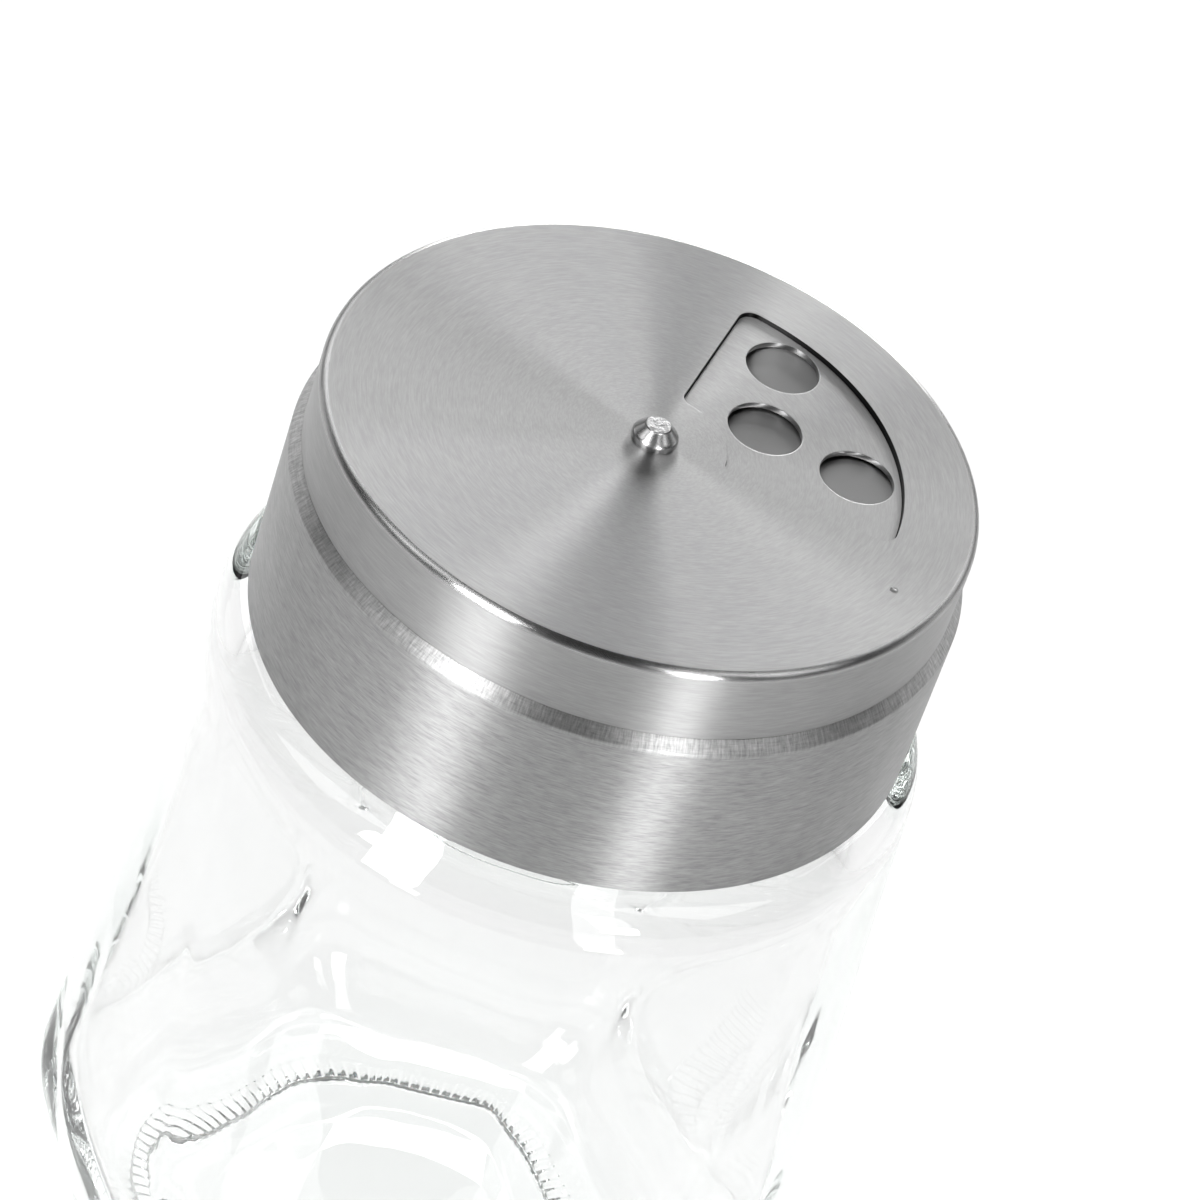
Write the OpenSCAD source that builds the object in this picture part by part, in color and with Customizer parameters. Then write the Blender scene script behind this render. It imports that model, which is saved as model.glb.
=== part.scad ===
// Spice jar: a six-sided glass body with a round shoulder and a threaded neck, closed by a
// steel lid that unscrews. On the lid a steel dial turns about a rivet. A quarter turn brings
// the three holes of the dial over the three holes of the sifter plate below it.
// The origin is the centre of the base, +Z points up, and two flats of the glass face +Y and -Y.

/* [Glass body] */
// How far each flat stands out past the lid's skirt
flats_out = 1.55; // [0.9:0.05:6]
// How far the corners stand out past the flats, just above the heel
corner_out = 3.25; // [1:0.05:3.6]
// How far the round shoulder stands out past the flats
shoulder_out = 0.15; // [0.05:0.05:0.6]
// Height of the top of the shoulder
shoulder_z = 60.5; // [45:0.5:90]
// Radius of the rounding at the shoulder
shoulder_round = 2.7; // [1:0.1:2.9]
// Radius of the rounding at the heel, under the corners
heel_round = 11; // [9:0.5:12]
// Radius of the rounding at the heel, under the flats
flat_heel_round = 8.5; // [5:0.5:9]
// Thickness of the side walls
glass_wall = 2.2; // [1.6:0.1:3]
// Thickness of the floor at its rim
glass_floor = 3.5; // [3:0.5:8]
// Radius of the hollow under the base
hollow_r = 14.5; // [8:0.5:15]
// Depth of the hollow under the base
hollow_depth = 1; // [0.5:0.1:1.5]
// Thickness of the neck's wall
neck_wall = 2.4; // [1.8:0.1:3]
// Rounding of the neck's rim
rim_round = 0.7; // [0.3:0.1:1]

/* [Thread] */
// Rise of the thread in one turn
thread_pitch = 4.2; // [4:0.1:5]
// Turns of thread on the glass and in the insert
thread_turns = 1.25; // [1:0.05:1.4]
// Height of the ridges above the wall that carries them
thread_depth = 1.1; // [0.8:0.05:1.3]
// Width of a ridge at its foot
ridge_w = 2; // [1.4:0.1:2.1]
// Clearance between the glass and the insert
thread_clear = 0.3; // [0.2:0.05:0.4]

/* [Steel lid] */
// Outer diameter of the skirt
skirt_d = 46.4; // [45.8:0.1:47.4]
// How far the skirt stands out past the dial
flare_out = 0.7; // [0.55:0.05:0.9]
// Height of the lid from the skirt's edge to the dial's top
lid_h = 18.9; // [18.2:0.1:22]
// Height of the dial's band
band_h = 5.5; // [4.8:0.1:6]
// Gap between the skirt's edge and the shoulder
skirt_gap = 1.1; // [0.5:0.1:2]
// Thickness of the steel sheet
sheet = 0.4; // [0.3:0.05:0.5]
// Outer radius of the dial's rounded rim
dial_round = 0.6; // [0.5:0.1:1.5]

/* [Dial and sifter holes] */
// Depth of the pressed sector
sector_depth = 0.5; // [0.3:0.05:0.7]
// Inner radius of the sector
sector_in_r = 5; // [4:0.5:5.5]
// Width of the plain edge of the dial outside the sector
sector_edge = 5.3; // [4.5:0.1:5.6]
// Direction of the middle of the sector
sector_dir = 34.2; // [0:0.1:90]
// Angle that the sector spans
sector_span = 88.3; // [80:0.1:110]
// Diameter of a sifter hole
hole_d = 5.2; // [3:0.1:5.4]
// Distance of the two outer holes from the sector's outer side
outer_hole_in = 3.1; // [3:0.1:3.6]
// Distance of the inner hole from the sector's inner side
inner_hole_out = 3.7; // [3.2:0.1:4.2]
// Direction of the inner hole, halfway between the outer two
holes_dir = 36.9; // [30:0.1:44]
// Angle from the inner hole's direction to each outer hole
holes_spread = 23.05; // [16:0.05:26]
// Turn of the dial from shut to open
open_turn = 90; // [80:1:180]
// Distance of the pressed mark from the dial's edge
mark_in = 3.35; // [2.5:0.05:4]
// Direction of the pressed mark
mark_dir = -22.5; // [-60:0.5:-15]
// Diameter of the pressed mark
mark_d = 0.56; // [0.3:0.02:0.8]

/* [Rivet and washer] */
// Diameter of the rivet's head at its foot
rivet_head_d = 3.2; // [2.8:0.1:4]
// Diameter of the flat on the rivet's head
rivet_flat_d = 1.6; // [1:0.1:2]
// Height of the rivet's head
rivet_head_h = 1.2; // [0.6:0.1:1.6]
// Diameter of the rivet's shank
rivet_shank_d = 2.4; // [1.6:0.1:2.6]
// Diameter of the clinched foot
rivet_foot_d = 4.6; // [3.6:0.1:6]
// Height of the clinched foot
rivet_foot_h = 0.6; // [0.4:0.1:0.8]
// Outer diameter of the spring washer
washer_d = 8; // [6:0.1:10]
// Thickness of the spring washer
washer_t = 0.25; // [0.2:0.05:0.4]
// Height that the washer is dished by
washer_dish = 0.3; // [0.1:0.05:0.4]

/* [Insert and seal] */
// Thickness of the insert behind its thread
insert_wall = 1.5; // [1.3:0.1:1.7]
// Thickness of the insert's flange
flange_t = 1.2; // [0.8:0.1:1.6]
// How far the flange and the seal reach in past the mouth's wall
flange_lip = 0.25; // [0:0.05:0.8]
// Height of the skirt's edge below the insert
insert_up = 0.6; // [0.3:0.1:1.5]
// Thickness of the seal
seal_t = 1; // [0.6:0.1:1.4]

/* [Hidden] */

// Clearances: flat faces that seat, parts that turn about one another, and the overrun of cuts
seat_gap = 0.05;
slide_gap = 0.1;
turn_gap = 0.3;
over = 1;

// Fineness of circles and of the points along an arc
fine = 96;
arc_steps = 10;
sides = 6;

// Radii from the outside of the lid inwards, down to the mouth of the glass
skirt_r = skirt_d / 2;
dial_r = skirt_r - flare_out;
shell_r = dial_r - sheet - turn_gap;
insert_r = skirt_r - sheet - seat_gap;
insert_top_r = shell_r - sheet - seat_gap;
insert_root_r = insert_r - insert_wall;
thread_crest_r = insert_root_r - thread_clear;
neck_r = thread_crest_r - thread_depth;
insert_crest_r = neck_r + thread_clear;
mouth_r = neck_r - neck_wall;
flange_in_r = mouth_r - flange_lip;
bore_r = rivet_shank_d / 2 + seat_gap;

// Half the width of the glass across its flats, outside and inside
half_w = skirt_r + flats_out;
space_half_w = half_w - glass_wall;

// Distances of the sector, its holes and the mark from the axis
sector_out_r = dial_r - sector_edge;
outer_hole_r = sector_out_r - outer_hole_in;
inner_hole_r = sector_in_r + inner_hole_out;
mark_r = dial_r - mark_in;

// Heights from the shoulder up to the dial and down again to the glass rim
skirt_z = shoulder_z + skirt_gap;
top_z = skirt_z + lid_h;
crease_z = top_z - band_h;
plate_z = top_z - sheet - sector_depth - slide_gap;
plate_low_z = plate_z - sheet;
flare_z = crease_z - seat_gap - slide_gap - flare_out;
insert_z = skirt_z + insert_up;
insert_top_z = plate_low_z - seat_gap;
flange_z = insert_top_z - flange_t;
seal_z = flange_z - seat_gap - seal_t;
rim_z = seal_z - seat_gap;
washer_z = plate_low_z - seat_gap;
foot_z = washer_z - washer_t - washer_dish - seat_gap;

// Rounding of the shell's top edge, which the insert's own top edge is cut back by
plate_round = dial_round - sheet / 2;

// Where the parallel lower part of the insert ends, and where its thread bore narrows
ledge_z = flare_z - seat_gap;
throat_z = ledge_z - insert_wall / 2;

// Points of an arc about a centre, from one angle to another
function arc(centre, r, from, to) =
    [for (i = [0:arc_steps]) centre + r * [cos(from + (to - from) * i / arc_steps),
                                          sin(from + (to - from) * i / arc_steps)]];

// A point of the XY plane at a radius and a direction
function polar(r, dir) = [r * cos(dir), r * sin(dir)];

// Outline of a helical ridge, as shares of its depth and of half its width
ridge_shares = [[-0.35, -1], [0.45, -0.75], [1, -0.3], [1, 0.3], [0.45, 0.75], [-0.35, 1]];
ridge_steps = 40;
ridge_dir = 15;
fade_share = 0.1;
least_share = 0.04;

// Helical ridge on a wall of radius wall_r, outward for side 1 and inward for side -1. It starts
// at height low_z and sinks into the wall at both ends.
module ridge(wall_r, side, low_z) {
    count = len(ridge_shares);
    rings = round(ridge_steps * thread_turns);
    function fade(share) = max(least_share, min(1, share / fade_share, (1 - share) / fade_share));
    function height(point, share) = (point[0] - ridge_shares[0][0]) * fade(share) + ridge_shares[0][0];
    points = [for (i = [0:rings], p = ridge_shares)
        let (dir = ridge_dir + 360 * thread_turns * i / rings,
             r = wall_r + side * thread_depth * height(p, i / rings),
             z = low_z + thread_pitch * thread_turns * i / rings + side * p[1] * ridge_w / 2)
        [r * cos(dir), r * sin(dir), z]];
    walls = [for (i = [0:rings - 1], j = [0:count - 1])
        let (next = (j + 1) % count)
        [i * count + j, i * count + next, (i + 1) * count + next, (i + 1) * count + j]];
    first_end = [for (j = [count - 1:-1:0]) j];
    last_end = [for (j = [0:count - 1]) rings * count + j];
    polyhedron(points, concat([first_end, last_end], walls));
}

// Centre heights at which the ridges start: the insert's ridge lies below the one on the glass,
// and their flanks meet at this share of a ridge's width
meet_share = 0.6;
glass_ridge_z = insert_z + ridge_w + thread_clear + thread_depth;
insert_ridge_z = glass_ridge_z - meet_share * ridge_w - thread_clear;

// Block along X of the given half width, its two long bottom edges rounded
module rounded_bar(half, round, low_z, high_z) {
    rotate([90, 0, 90])
        linear_extrude(4 * half, center = true) {
            translate([-half, low_z + round]) square([2 * half, high_z - low_z - round]);
            translate([round - half, low_z]) square([2 * (half - round), high_z - low_z]);
            for (side = [-1, 1])
                translate([side * (half - round), low_z + round]) circle(r = round, $fn = fine);
        }
}

// Solid that turning an outline about the axis gives, cut to six sides with a rounded heel
module six_sided(half, round, low_z, high_z) {
    intersection() {
        rotate_extrude($fn = fine)
            difference() {
                children();
                translate([-4 * half, -over]) square([4 * half, high_z + 2 * over]);
            }
        rounded_bar(half, round, low_z, high_z);
        rotate(360 / sides) rounded_bar(half, round, low_z, high_z);
        rotate(2 * 360 / sides) rounded_bar(half, round, low_z, high_z);
    }
}

// Outline of the glass against the axis: heel, corner line, shoulder, neck and rim
module glass_outline() {
    heel_r = half_w + corner_out - heel_round;
    shoulder_r = half_w + shoulder_out - shoulder_round;
    slope_z = shoulder_z - shoulder_round;
    root_z = shoulder_z + (skirt_gap + insert_up) / 2;
    polygon([[0, 0], [heel_r, 0], [heel_r, heel_round], [heel_r + heel_round, heel_round],
             [shoulder_r + shoulder_round, slope_z], [shoulder_r, slope_z], [shoulder_r, shoulder_z],
             [neck_r + thread_depth, shoulder_z], [neck_r, root_z], [neck_r, rim_z - rim_round],
             [neck_r - rim_round, rim_z - rim_round], [neck_r - rim_round, rim_z], [0, rim_z]]);
    translate([heel_r, heel_round]) circle(r = heel_round, $fn = fine);
    translate([shoulder_r, slope_z]) circle(r = shoulder_round, $fn = fine);
    translate([neck_r - rim_round, rim_z - rim_round]) circle(r = rim_round, $fn = fine);
}

// Outline of the space inside the glass, a wall's thickness inside the outer one
module space_outline() {
    heel_in = heel_round - glass_wall;
    heel_r = space_half_w + corner_out - heel_in;
    shoulder_r = space_half_w + shoulder_out - shoulder_round;
    slope_z = shoulder_z - shoulder_round - glass_wall;
    polygon([[0, glass_floor], [heel_r, glass_floor], [heel_r, glass_floor + heel_in],
             [heel_r + heel_in, glass_floor + heel_in], [shoulder_r + shoulder_round, slope_z],
             [shoulder_r, slope_z], [shoulder_r, slope_z + shoulder_round],
             [mouth_r, slope_z + 2 * glass_wall], [mouth_r, rim_z - rim_round],
             [mouth_r + rim_round, rim_z], [mouth_r + rim_round, rim_z + over], [0, rim_z + over]]);
    translate([heel_r, glass_floor + heel_in]) circle(r = heel_in, $fn = fine);
    translate([shoulder_r, slope_z]) circle(r = shoulder_round, $fn = fine);
}

module glass_jar() {
    color([0.86, 0.92, 0.89, 0.4])
    difference() {
        union() {
            six_sided(half_w, flat_heel_round, 0, rim_z) glass_outline();
            ridge(neck_r, 1, glass_ridge_z);
        }
        six_sided(space_half_w, flat_heel_round - glass_wall, glass_floor, rim_z + over) space_outline();
        hollow_ball_r = (hollow_r * hollow_r / hollow_depth + hollow_depth) / 2;
        translate([0, 0, hollow_depth - hollow_ball_r])
            sphere(r = hollow_ball_r, $fn = fine);
    }
}

// Soft ring under the insert's flange, on the rim of the glass
module seal_ring() {
    color([0.93, 0.93, 0.9])
    translate([0, 0, seal_z])
        difference() {
            cylinder(h = seal_t, r = neck_r + thread_clear / 2, $fn = fine);
            translate([0, 0, -over]) cylinder(h = seal_t + 2 * over, r = flange_in_r, $fn = fine);
        }
}

// Plastic ring inside the skirt: flange, plain throat and threaded bore
module threaded_insert() {
    color([0.95, 0.95, 0.94])
    union() {
        rotate_extrude($fn = fine)
            polygon([[insert_root_r, insert_z], [insert_r, insert_z], [insert_r, ledge_z],
                     [insert_top_r, ledge_z], [insert_top_r, insert_top_z - plate_round],
                     [insert_top_r - plate_round, insert_top_z],
                     [flange_in_r, insert_top_z], [flange_in_r, flange_z],
                     [insert_crest_r, flange_z], [insert_crest_r, throat_z],
                     [insert_root_r, throat_z - insert_wall / 2]]);
        ridge(insert_root_r, -1, insert_ridge_z);
    }
}

// The three sifter holes, turned on by the given angle and cut from low_z to high_z
module sifter_holes(turn, low_z, high_z) {
    places = [[inner_hole_r, 0], [outer_hole_r, -holes_spread], [outer_hole_r, holes_spread]];
    for (place = places)
        translate(concat(polar(place[0], holes_dir + place[1] + turn), low_z))
            cylinder(h = high_z - low_z, d = hole_d, $fn = fine);
}

// Steel cup under the dial: sifter plate, upper wall, flare and skirt
module skirt_shell() {
    outside = concat(
        arc([shell_r - plate_round, plate_z - plate_round], plate_round, 90, 0),
        [[shell_r, flare_z + flare_out]],
        arc([dial_r, flare_z], flare_out, 90, 0),
        [[skirt_r, skirt_z]]);
    inside = concat(
        [[skirt_r - sheet, skirt_z]],
        arc([dial_r, flare_z], flare_out - sheet, 0, 90),
        [[shell_r - sheet, flare_z + flare_out - sheet]],
        arc([shell_r - plate_round, plate_z - plate_round], plate_round - sheet, 0, 90));
    color([0.72, 0.72, 0.7])
    difference() {
        rotate_extrude($fn = fine)
            polygon(concat([[bore_r, plate_z]], outside, inside, [[bore_r, plate_low_z]]));
        sifter_holes(open_turn, plate_low_z - over, plate_z + over);
    }
}

// Dished washer, its wide edge up against the plate and its narrow edge on the rivet's foot
module spring_washer() {
    color([0.68, 0.68, 0.66])
    rotate_extrude($fn = fine)
        polygon([[washer_d / 2, washer_z], [washer_d / 2, washer_z - washer_t],
                 [bore_r, washer_z - washer_t - washer_dish], [bore_r, washer_z - washer_dish]]);
}

// Rivet: rounded head with a flat on top, shank and clinched foot
module centre_rivet() {
    head_z = top_z + seat_gap;
    head_shares = [[1, 0], [0.98, 0.2], [0.84, 0.55], [0.5, 0.9], [0, 1]];
    spread = (rivet_head_d - rivet_flat_d) / 2;
    head = [for (s = head_shares) [rivet_flat_d / 2 + spread * s[0], head_z + rivet_head_h * s[1]]];
    foot_r = rivet_foot_d / 2;
    color([0.8, 0.8, 0.78])
    rotate_extrude($fn = fine)
        polygon(concat(
            [[0, foot_z - rivet_foot_h], [foot_r, foot_z - rivet_foot_h / 2], [foot_r, foot_z],
             [rivet_shank_d / 2, foot_z], [rivet_shank_d / 2, head_z]],
            head,
            [[0, head_z + rivet_head_h]]));
}

// Flat sector between two radii, grown on all sides by the given amount
module sector(grow) {
    reach = 2 * sector_out_r;
    half = sector_span / 2;
    tip = -grow / sin(half);
    rotate(sector_dir)
        intersection() {
            difference() {
                circle(r = sector_out_r + grow, $fn = fine);
                circle(r = sector_in_r - grow, $fn = fine);
            }
            polygon([[tip, 0], [tip + reach * cos(half), reach * sin(half)],
                     [tip + reach * cos(half), -reach * sin(half)]]);
        }
}

// Dial: top disc, rounded rim and band, with the pressed sector, its holes and the mark
module dial_cap() {
    color([0.74, 0.74, 0.72])
    difference() {
        union() {
            rotate_extrude($fn = fine)
                polygon(concat(
                    [[bore_r, top_z]],
                    arc([dial_r - dial_round, top_z - dial_round], dial_round, 90, 0),
                    [[dial_r, crease_z], [dial_r - sheet, crease_z]],
                    arc([dial_r - dial_round, top_z - dial_round], dial_round - sheet, 0, 90),
                    [[bore_r, top_z - sheet]]));
            translate([0, 0, top_z - sector_depth - sheet])
                linear_extrude(sector_depth + sheet / 2) sector(sheet);
        }
        translate([0, 0, top_z - sector_depth])
            linear_extrude(sector_depth + over) sector(0);
        sifter_holes(0, plate_z, top_z + over);
        translate(concat(polar(mark_r, mark_dir), top_z)) sphere(d = mark_d, $fn = fine);
    }
}

glass_jar();
seal_ring();
threaded_insert();
skirt_shell();
spring_washer();
centre_rivet();
dial_cap();
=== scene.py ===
"""Spice jar: a six-sided glass jar with a screw lid of spun steel and a riveted sifter dial.
The sections follow the jar as it is put together: glass, seal, threaded insert, lid, washer, rivet, dial.
Lengths in the sections are millimetres; the meshes are written in metres."""

import bmesh
import bpy
import numpy as np
from mathutils import Matrix, Vector
from mathutils.geometry import delaunay_2d_cdt


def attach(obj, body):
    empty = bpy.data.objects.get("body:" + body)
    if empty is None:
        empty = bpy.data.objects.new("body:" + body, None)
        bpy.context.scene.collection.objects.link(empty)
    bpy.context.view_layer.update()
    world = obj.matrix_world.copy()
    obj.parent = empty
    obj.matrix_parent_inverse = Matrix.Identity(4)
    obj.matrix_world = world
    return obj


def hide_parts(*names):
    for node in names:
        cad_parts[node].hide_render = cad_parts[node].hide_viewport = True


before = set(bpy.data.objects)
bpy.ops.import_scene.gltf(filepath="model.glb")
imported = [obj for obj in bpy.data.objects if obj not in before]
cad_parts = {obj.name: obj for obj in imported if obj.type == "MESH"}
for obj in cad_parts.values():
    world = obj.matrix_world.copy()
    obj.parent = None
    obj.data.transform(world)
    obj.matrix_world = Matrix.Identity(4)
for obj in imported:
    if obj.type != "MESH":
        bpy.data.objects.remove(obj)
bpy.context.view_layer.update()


# CAMERA
# A long lens looks down on the lid from about forty degrees up, turned so that the jar leans
# to the left and its base runs off the lower edge, as the picture has it. Light is followed
# through many bounces, because rays that the thick glass catches would otherwise end black.
azimuth, elevation, roll = np.radians([2.03, 39.69, -19.30])
look = np.array([
    np.sin(azimuth) * np.cos(elevation), np.cos(azimuth) * np.cos(elevation), -np.sin(elevation)])
level_right = np.array([np.cos(azimuth), -np.sin(azimuth), 0.0])
level_down = np.cross(look, level_right)
right = np.cos(roll) * level_right + np.sin(roll) * level_down
down = np.cos(roll) * level_down - np.sin(roll) * level_right
lens = bpy.data.cameras.new("camera")
lens.sensor_width = 36.0
lens.lens = 166.6
lens.clip_start = 0.01
camera = bpy.data.objects.new("camera", lens)
standpoint = Matrix.Translation((-0.01006, -0.28809, 0.3052))
camera.matrix_world = standpoint @ Matrix(np.column_stack([right, -down, -look]).tolist()).to_4x4()
bpy.context.scene.collection.objects.link(camera)
bpy.context.scene.camera = camera
bpy.context.scene.view_settings.view_transform = "Standard"
bpy.context.scene.cycles.max_bounces = 32
bpy.context.scene.cycles.glossy_bounces = 24
bpy.context.scene.cycles.transmission_bounces = 32


# GLASS JAR
# One piece of pressed soda-lime glass, faintly green where it is thick. Six flats narrow towards a
# round shoulder, the neck carries one and a quarter turns of thread, and the base has a shallow
# hollow inside a ring of short bars that it stands on.
def hexagon(direction, half_width, corner_round):
    """Radius of a six-sided outline with rounded corners, its sides square to 30, 90, 150 ... degrees.
    With t the angle from the middle of a side, r = half_width / cos t along the side. Nearer to a
    corner r = d cos u + sqrt(round^2 - d^2 sin^2 u), with u the angle from the corner and
    d = (half_width - round) / cos 30 the distance of the rounding's centre from the axis."""
    from_side = np.radians(np.abs(direction % 60 - 30))
    from_corner = np.radians(30) - from_side
    centre = (half_width - corner_round) / np.cos(np.radians(30))
    side = half_width / np.cos(from_side)
    inside = np.maximum(corner_round ** 2 - (centre * np.sin(from_corner)) ** 2, 0)
    corner = centre * np.cos(from_corner) + np.sqrt(inside)
    straight = half_width * np.tan(from_side) <= (half_width - corner_round) * np.tan(np.radians(30))
    return np.where(straight, side, corner)


def thread_height(direction, z, start_z, depth):
    """Height of a helical ridge over its wall. Its middle climbs 4.2 a turn from start_z at 15 degrees,
    for 1.25 turns; across it the height runs 0, 0.45, 1, 1, 0.45, 0 of the depth at -1, -0.75, -0.3,
    0.3, 0.75 and 1 from the middle, and it fades over the first and last tenth."""
    pitch, length = 4.2, 1.25
    turns = ((direction - 15) / 360)[None, :, None] + np.arange(2)[None, None, :]
    across = np.abs(z[:, :, None] - (start_z + pitch * turns))
    share = turns / length
    fade = np.clip(np.minimum(share, 1 - share) / 0.1, 0, 1)
    return depth * (np.interp(across, [0, 0.3, 0.75, 1.0], [1, 1, 0.45, 0]) * fade).max(axis=2)


def bezier(t, first, second, third, fourth):
    """Cubic curve: (1-t)^3 times the first value, plus 3t(1-t)^2 times the second, plus 3t^2(1-t) times
    the third, plus t^3 times the fourth."""
    return (1 - t) ** 3 * first + 3 * t * (1 - t) ** 2 * second + (
        3 * t ** 2 * (1 - t) * third + t ** 3 * fourth)


def rings_of(radius, z, direction):
    """Points (r cos d, r sin d, z) of closed rings, from arrays of radius and height by ring and
    direction."""
    radius, z, direction = np.broadcast_arrays(radius, z, np.radians(direction)[None, :])
    return np.stack([radius * np.cos(direction), radius * np.sin(direction), z], axis=-1)


def skin(rings, first_pole=None, last_pole=None, wrap=False):
    """Surface through closed rings: quad (i, j) joins ring i to ring i + 1 and direction j to j + 1.
    A pole is a point that shuts the first or last ring with triangles; wrap joins the last ring
    to the first."""
    rows, columns = rings.shape[:2]
    i = np.arange(rows if wrap else rows - 1)[:, None]
    j = np.arange(columns)[None, :]
    k = (j + 1) % columns
    above = (i + 1) % rows
    quads = np.stack([i * columns + j, i * columns + k, above * columns + k, above * columns + j], axis=-1)
    points = rings.reshape(-1, 3)
    faces = quads.reshape(-1, 4).tolist()
    for pole, row in ((first_pole, 0), (last_pole, rows - 1)):
        if pole is not None:
            edge = row * columns + np.arange(columns)
            fan = [edge, np.roll(edge, -1), np.full(columns, len(points))]
            faces += np.stack(fan, axis=-1).tolist()
            points = np.vstack([points, pole])
    return points, faces


def make_piece(name, patches):
    """One closed mesh from patches of points in millimetres and faces, whose rims lie on one another.
    Points that fall together are merged, faces are turned outwards, and all is shaded smooth."""
    points, faces = [], []
    for patch_points, patch_faces in patches:
        start = sum(len(p) for p in points)
        faces += [[start + corner for corner in face] for face in patch_faces]
        points.append(np.asarray(patch_points))
    mesh = bpy.data.meshes.new(name)
    mesh.from_pydata((np.vstack(points) * 0.001).tolist(), [], faces)
    work = bmesh.new()
    work.from_mesh(mesh)
    bmesh.ops.remove_doubles(work, verts=work.verts, dist=1.5e-6)
    bmesh.ops.recalc_face_normals(work, faces=work.faces)
    work.to_mesh(mesh)
    work.free()
    mesh.polygons.foreach_set("use_smooth", np.ones(len(mesh.polygons), dtype=bool))
    piece = bpy.data.objects.new(name, mesh)
    bpy.context.scene.collection.objects.link(piece)
    return piece


def new_material(name):
    """An empty node material, its node tree, its output node and the place on the piece in metres."""
    material = bpy.data.materials.new(name)
    material.use_nodes = True
    tree = material.node_tree
    tree.nodes.clear()
    place = tree.nodes.new("ShaderNodeTexCoord").outputs["Object"]
    return material, tree, tree.nodes.new("ShaderNodeOutputMaterial"), place


def node(tree, kind, settings=None, **inputs):
    """Adds a shader node, sets its properties, and gives each named input a value or a link.
    Inputs a, b and c are the first three sockets, and an underline in a name stands for a space."""
    made = tree.nodes.new(kind)
    for key, value in (settings or {}).items():
        setattr(made, key, value)
    for key, value in inputs.items():
        if key in ("a", "b", "c"):
            socket = made.inputs["abc".index(key)]
        else:
            socket = made.inputs[key.replace("_", " ")]
        if isinstance(value, bpy.types.NodeSocket):
            tree.links.new(value, socket)
        else:
            socket.default_value = value
    return made


def maths(tree, operation, *values):
    """One step of arithmetic on up to three values or links."""
    return node(tree, "ShaderNodeMath", {"operation": operation}, **dict(zip("abc", values))).outputs["Value"]


def noise(tree, place, scale, detail=2.0, roughness=0.5):
    """Soft noise from 0 to 1 about one half, with a number of grains per unit of its place."""
    return node(tree, "ShaderNodeTexNoise", Vector=place, Scale=scale, Detail=detail,
                Roughness=roughness).outputs["Fac"]


around = np.arange(480) * 360 / 480
half_width, base_half_width = 24.75, 19.0
foot_z, side_top_z, neck_foot_z, lip_z = 0.4, 57.8, 61.9, 76.05
quarter = np.radians(np.linspace(0, 90, 20))[:, None]
corner_share = (hexagon(around, half_width, 3.75) - half_width) / 3.25
heel_z = 8.5 + 2.5 * corner_share

hollow_depth, hollow_curve = 1.0, 105.6
hollow_r = np.linspace(0, 14.1, 9)[1:, None]
hollow_z = hollow_depth - (hollow_curve - np.sqrt(hollow_curve ** 2 - hollow_r ** 2))

bar = np.array([0, 1, 1, 0])[np.arange(480) % 4]
bar_half = np.array([14.5, 15.3, 15.4, 15.55, 16.95, 17.1, 17.25])[:, None]
bar_z = foot_z - (0.25 + 0.15 * bar[None, :]) * np.array([0, 0, 0.5, 1, 1, 0.5, 0])[:, None]

heel_half = base_half_width + (half_width - base_half_width) * np.sin(quarter)
heel_round = 9.6 - 5.85 * np.sin(quarter)
heel_rise_z = foot_z + (heel_z[None, :] - foot_z) * (1 - np.cos(quarter))

# A corner c from the axis of an outline w wide has the round (w / cos 30 - c) / (1 / cos 30 - 1).
over_cos, over_cos_less_one, sharp_corner = 1.1547, 0.1547, 28.58
climb = np.linspace(0, 1, 21)[1:, None]
side_round = (sharp_corner - (28.0 - 3.1 * climb)) / over_cos_less_one
side_z = heel_z[None, :] + (side_top_z - heel_z[None, :]) * climb

shoulder_size = 2.7
bend = np.radians(np.linspace(0, 90, 13))[1:, None]
shoulder_in = shoulder_size * (1 - np.cos(bend))
shoulder_half = half_width - shoulder_in
shoulder_round = (over_cos * shoulder_half - (24.9 - shoulder_in)) / over_cos_less_one

neck_r, lip_size = 19.85, 0.7
root = np.radians(np.linspace(0, 90, 6))[:, None]
neck_z = np.linspace(neck_foot_z, 75.9, 39)[:, None] + 0 * around[None, :]
lip = np.radians(np.linspace(0, 90, 6))[:, None]
outside_r = np.vstack([
    hollow_r + 0 * around,
    hexagon(around, bar_half, bar_half - 8.0),
    hexagon(around, heel_half, heel_round),
    hexagon(around, half_width, side_round),
    hexagon(around, shoulder_half, shoulder_round),
    neck_r + 1.0 - 1.0 * np.sin(root) + 0 * around,
    neck_r + thread_height(around, neck_z, 65.6, 1.1),
    neck_r - lip_size + lip_size * np.cos(lip) + 0 * around,
])
outside_z = np.vstack([
    hollow_z + 0 * around,
    bar_z,
    heel_rise_z,
    side_z,
    side_top_z + shoulder_size * np.sin(bend) + 0 * around,
    61.55 - 1.0 * np.cos(root) + 0 * around,
    neck_z,
    lip_z + lip_size * np.sin(lip) + 0 * around,
])
drift = 0.03 * np.sin(np.radians(2 * around + 30) + 0.09 * outside_z) + 0.02 * np.sin(
    np.radians(5 * around) - 0.14 * outside_z + 1)
on_side = np.clip((outside_z - 6) / 10, 0, 1) * np.clip((58 - outside_z) / 10, 0, 1)
outside_r = outside_r + (drift - 0.05) * on_side

mouth_r, inner_half, inner_floor_half = 17.45, 22.55, 18.33
floor_z, floor_crown, inner_top_z = 3.5, 0.4, 55.2
mouth_z = np.linspace(76.0, 60.9, 11)[:, None]
swell = np.linspace(0, 1, 16)[1:, None]
swell_r = bezier(swell, mouth_r, mouth_r, 22.4, inner_half)
swell_z = bezier(swell, 60.8, 58.4, 59.2, inner_top_z)

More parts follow.
